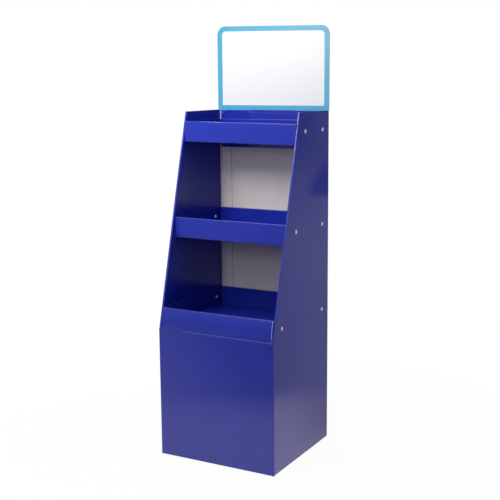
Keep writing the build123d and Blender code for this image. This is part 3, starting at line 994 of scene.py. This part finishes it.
# Y and Z of the rivets of each wall: two to a tray, near the sloping edge and near the back
RIVET_SPOTS = [
    (front_edge(1095.5) + 69.5, 1136.5), (160.0, 1136.5),
    (front_edge(765.5) + 85.5, 805.0), (160.0, 805.0),
    (front_edge(460.0) + 60.0, 496.5), (160.0, 496.5),
]
ASKEW_SPOT = 4
rivets = []
for number, (y, z) in enumerate(RIVET_SPOTS):
    for side in (1, -1):
        for rings in rivet_rings():
            rings = turned_about(rings, "X", 0.7 + 1.9 * number + 0.8 * side)
            if side > 0 and number == ASKEW_SPOT:
                rings = turned_about(rings, "Z", 0.03)
            rings = rings + (HALF, y, z)
            rivets.append(closed_rings(mirrored(rings) if side < 0 else rings))
make_piece("snap_rivets_moulded", rivets, (rivet_white,), "rivet_plastic", "snap_rivets")

# The studio: the ambient light, and how bright glossy rays see each part of the room
AMBIENT = 0.12
FLOOR_DIM, FLOOR_POOL, FLOOR_SIDE_POOL = 0.27, 1.18, (0.33, 0.93)
FLOOR_LEFT, FLOOR_RIGHT, FLOOR_AHEAD, FLOOR_FADED = 0.66, 0.28, 0.20, 0.72
SKY, SKY_LEFT = 0.24, 0.62
FLOOR_REACH = 40.0

# Where the mirrored floor changes, in metres: the pool's centre, its edge before the stand
# and beside it, and the distances over which the floor is far and fades behind
POOL_CENTRE, POOL_EDGE, POOL_SIDE_EDGE = (-0.12, -0.03), (0.70, 0.90), (0.87, 0.97)
BESIDE, SLANT, PAST_LINE, TO_RIGHT = (0.1, 0.3), (0.0, 0.3), (-0.2, 0.3), (0.3, 0.6)
FAR, FAR_RIGHT, FAR_BEHIND = (2.3, 4.0), (1.3, 3.4), (4.5, 15.0)


def floor_material():
    """Pale floor: white to the camera, with a trace of its real shading about the stand.
    Glossy rays see a bright pool of light, which reaches further to the right, across a
    slanting line, and round it a dimmer floor. That is paler left of a line, mostly before
    the stand, right of the stand and far ahead, and fades far behind."""
    material, tree, shader = new_material("studio_floor", 0.9)
    shader.inputs["Base Color"].default_value = (0.82, 0.82, 0.82, 1)
    place = node(tree, "TexCoord").outputs["Object"]
    x, y, _ = node(tree, "SeparateXYZ", {0: place}).outputs

    def distance(to_x, to_y):
        """Distance of the floor's points to a spot on it."""
        return node(tree, "VectorMath", {0: place, 1: (to_x, to_y, 0)},
                    operation="DISTANCE").outputs["Value"]

    from_stand, from_pool = distance(0, 0), distance(*POOL_CENTRE)
    before = between(tree, from_pool, *POOL_EDGE, FLOOR_POOL, 0.0)
    turned = sums(tree, "MULTIPLY_ADD", y, -0.66, x)
    to_side = product(tree, between(tree, from_pool, *POOL_SIDE_EDGE, 1.0, 0.0),
                      between(tree, turned, *SLANT, *FLOOR_SIDE_POOL))
    pool = sums(tree, "MULTIPLY_ADD", between(tree, x, *BESIDE),
                sums(tree, "SUBTRACT", to_side, before), before)

    far = between(tree, from_stand, *FAR)
    past_line = sums(tree, "MULTIPLY_ADD", x, -0.795,
                     sums(tree, "MULTIPLY_ADD", y, 0.606, 0.281))
    left = product(tree, between(tree, past_line, *PAST_LINE, 0.0, FLOOR_LEFT),
                   between(tree, y, -0.4, 0.0, 1.0, 0.33), sums(tree, "SUBTRACT", 1.0, far))
    right = product(tree, between(tree, x, *TO_RIGHT),
                    between(tree, from_stand, *FAR_RIGHT, 0.0, FLOOR_RIGHT))
    ahead = product(tree, far, between(tree, y, -1.0, 0.0, FLOOR_AHEAD, 0.0))
    around = sums(tree, "ADD", FLOOR_DIM, greatest(tree, left, right, ahead))
    fading = product(tree, sums(tree, "GREATER_THAN", y, 0.0),
                     between(tree, from_stand, *FAR_BEHIND, 0.0, FLOOR_FADED))
    around = product(tree, around, sums(tree, "SUBTRACT", 1.0, fading))
    strength = greatest(tree, around, sums(tree, "ADD", FLOOR_DIM, pool))

    seen = node(tree, "Emission", {"Color": (1, 1, 1, 1), "Strength": 1.02})
    glossy = node(tree, "Emission", {"Color": (1.0, 0.90, 0.88, 1), "Strength": strength})
    path = node(tree, "LightPath").outputs
    camera_share = product(tree, path["Is Camera Ray"],
                           between(tree, from_stand, 0.4, 2.2, 0.94, 1.0))
    lit = node(tree, "MixShader", {0: camera_share, 1: shader.outputs[0], 2: seen.outputs[0]})
    whole = node(tree, "MixShader", {0: path["Is Glossy Ray"], 1: lit.outputs[0],
                                     2: glossy.outputs[0]})
    tree.links.new(whole.outputs[0], tree.nodes["Material Output"].inputs["Surface"])
    return material


floor_mesh = bpy.data.meshes.new("studio_floor")
floor_corners = [(x * FLOOR_REACH, y * FLOOR_REACH, 0)
                 for x, y in ((-1, -1), (1, -1), (1, 1), (-1, 1))]
floor_mesh.from_pydata(floor_corners, [], [(0, 1, 2, 3)])
floor_mesh.materials.append(floor_material())
floor = linked("studio_floor", floor_mesh)


def studio_world():
    """White to the camera, and a soft ambient for the rest. Glossy rays see a dim room with
    a low pale wall ahead of the stand on its left, where X over Y passes a share."""
    world = bpy.data.worlds.new("studio")
    bpy.context.scene.world = world
    world.use_nodes = True
    tree = world.node_tree
    background = tree.nodes["Background"]
    background.inputs["Color"].default_value = (1, 1, 1, 1)
    way = node(tree, "TexCoord").outputs["Generated"]
    x, y, z = node(tree, "SeparateXYZ", {0: way}).outputs
    path = node(tree, "LightPath").outputs
    wall = product(tree, sums(tree, "LESS_THAN", y, 0.0),
                   between(tree, sums(tree, "DIVIDE", x, y), 0.61, 0.69, 0.0, SKY_LEFT))
    room = sums(tree, "MULTIPLY_ADD", wall, between(tree, z, 0.55, 0.75, 1.0, 0.0), SKY)
    soft = node(tree, "Mix", {0: path["Is Glossy Ray"], 2: AMBIENT, 3: room},
                data_type="FLOAT").outputs[0]
    whole = node(tree, "Mix", {0: path["Is Camera Ray"], 2: soft, 3: 1.0},
                 data_type="FLOAT").outputs[0]
    tree.links.new(whole, background.inputs["Strength"])


def softbox(name, place, size, power):
    """A soft square lamp at a place, turned to what it lights."""
    lamp = bpy.data.lights.new(name, "AREA")
    lamp.shape, lamp.size, lamp.energy = "SQUARE", size, power
    made = linked(name, lamp)
    made.location = place
    made.rotation_euler = (LAMP_AIM - Vector(place)).to_track_quat("-Z", "Y").to_euler()
    made.visible_camera = False


# Each lamp: its name, place in metres, size in metres and power in watts
LAMP_AIM = Vector((0, 0, 0.8))
LAMPS = (
    ("above", (0.0, -0.6, 2.7), 0.8, 4.0),
    ("key", (-0.1, -2.3, 2.42), 0.6, 7.5),
    ("front", (-0.25, -2.5, 1.85), 0.6, 3.9),
    ("low", (-0.2, -2.6, 1.5), 0.5, 7.0),
    ("near", (-0.3, -0.75, 1.6), 0.4, 8.6),
    ("right", (2.4, 0.2, 1.4), 1.2, 13.5),
    ("behind", (-1.8, 1.8, 1.4), 1.2, 30),
)
studio_world()
for lamp in LAMPS:
    softbox(*lamp)

# Camera, at the photograph's angle: its place in metres, its lens, and how far it is turned
# to the left, down and about its own axis, in degrees
CAMERA_PLACE, CAMERA_LENS = (1.64661, -2.94496, 1.31112), 70.16
CAMERA_TURNS = 28.8988, 9.9619, -0.4530
yaw, pitch, roll = (math.radians(angle) for angle in CAMERA_TURNS)
ahead = Vector((-math.sin(yaw) * math.cos(pitch), math.cos(yaw) * math.cos(pitch),
                -math.sin(pitch)))
right = Vector((math.cos(yaw), math.sin(yaw), 0))
above = right.cross(ahead)
right, above = (right * math.cos(roll) + above * math.sin(roll),
                above * math.cos(roll) - right * math.sin(roll))
camera = linked("camera", bpy.data.cameras.new("camera"))
camera.data.lens = CAMERA_LENS
camera.data.clip_end = 200
place = Matrix((right, above, -ahead)).transposed().to_4x4()
place.translation = Vector(CAMERA_PLACE)
camera.matrix_world = place
bpy.context.scene.camera = camera
bpy.context.scene.view_settings.view_transform = "Standard"
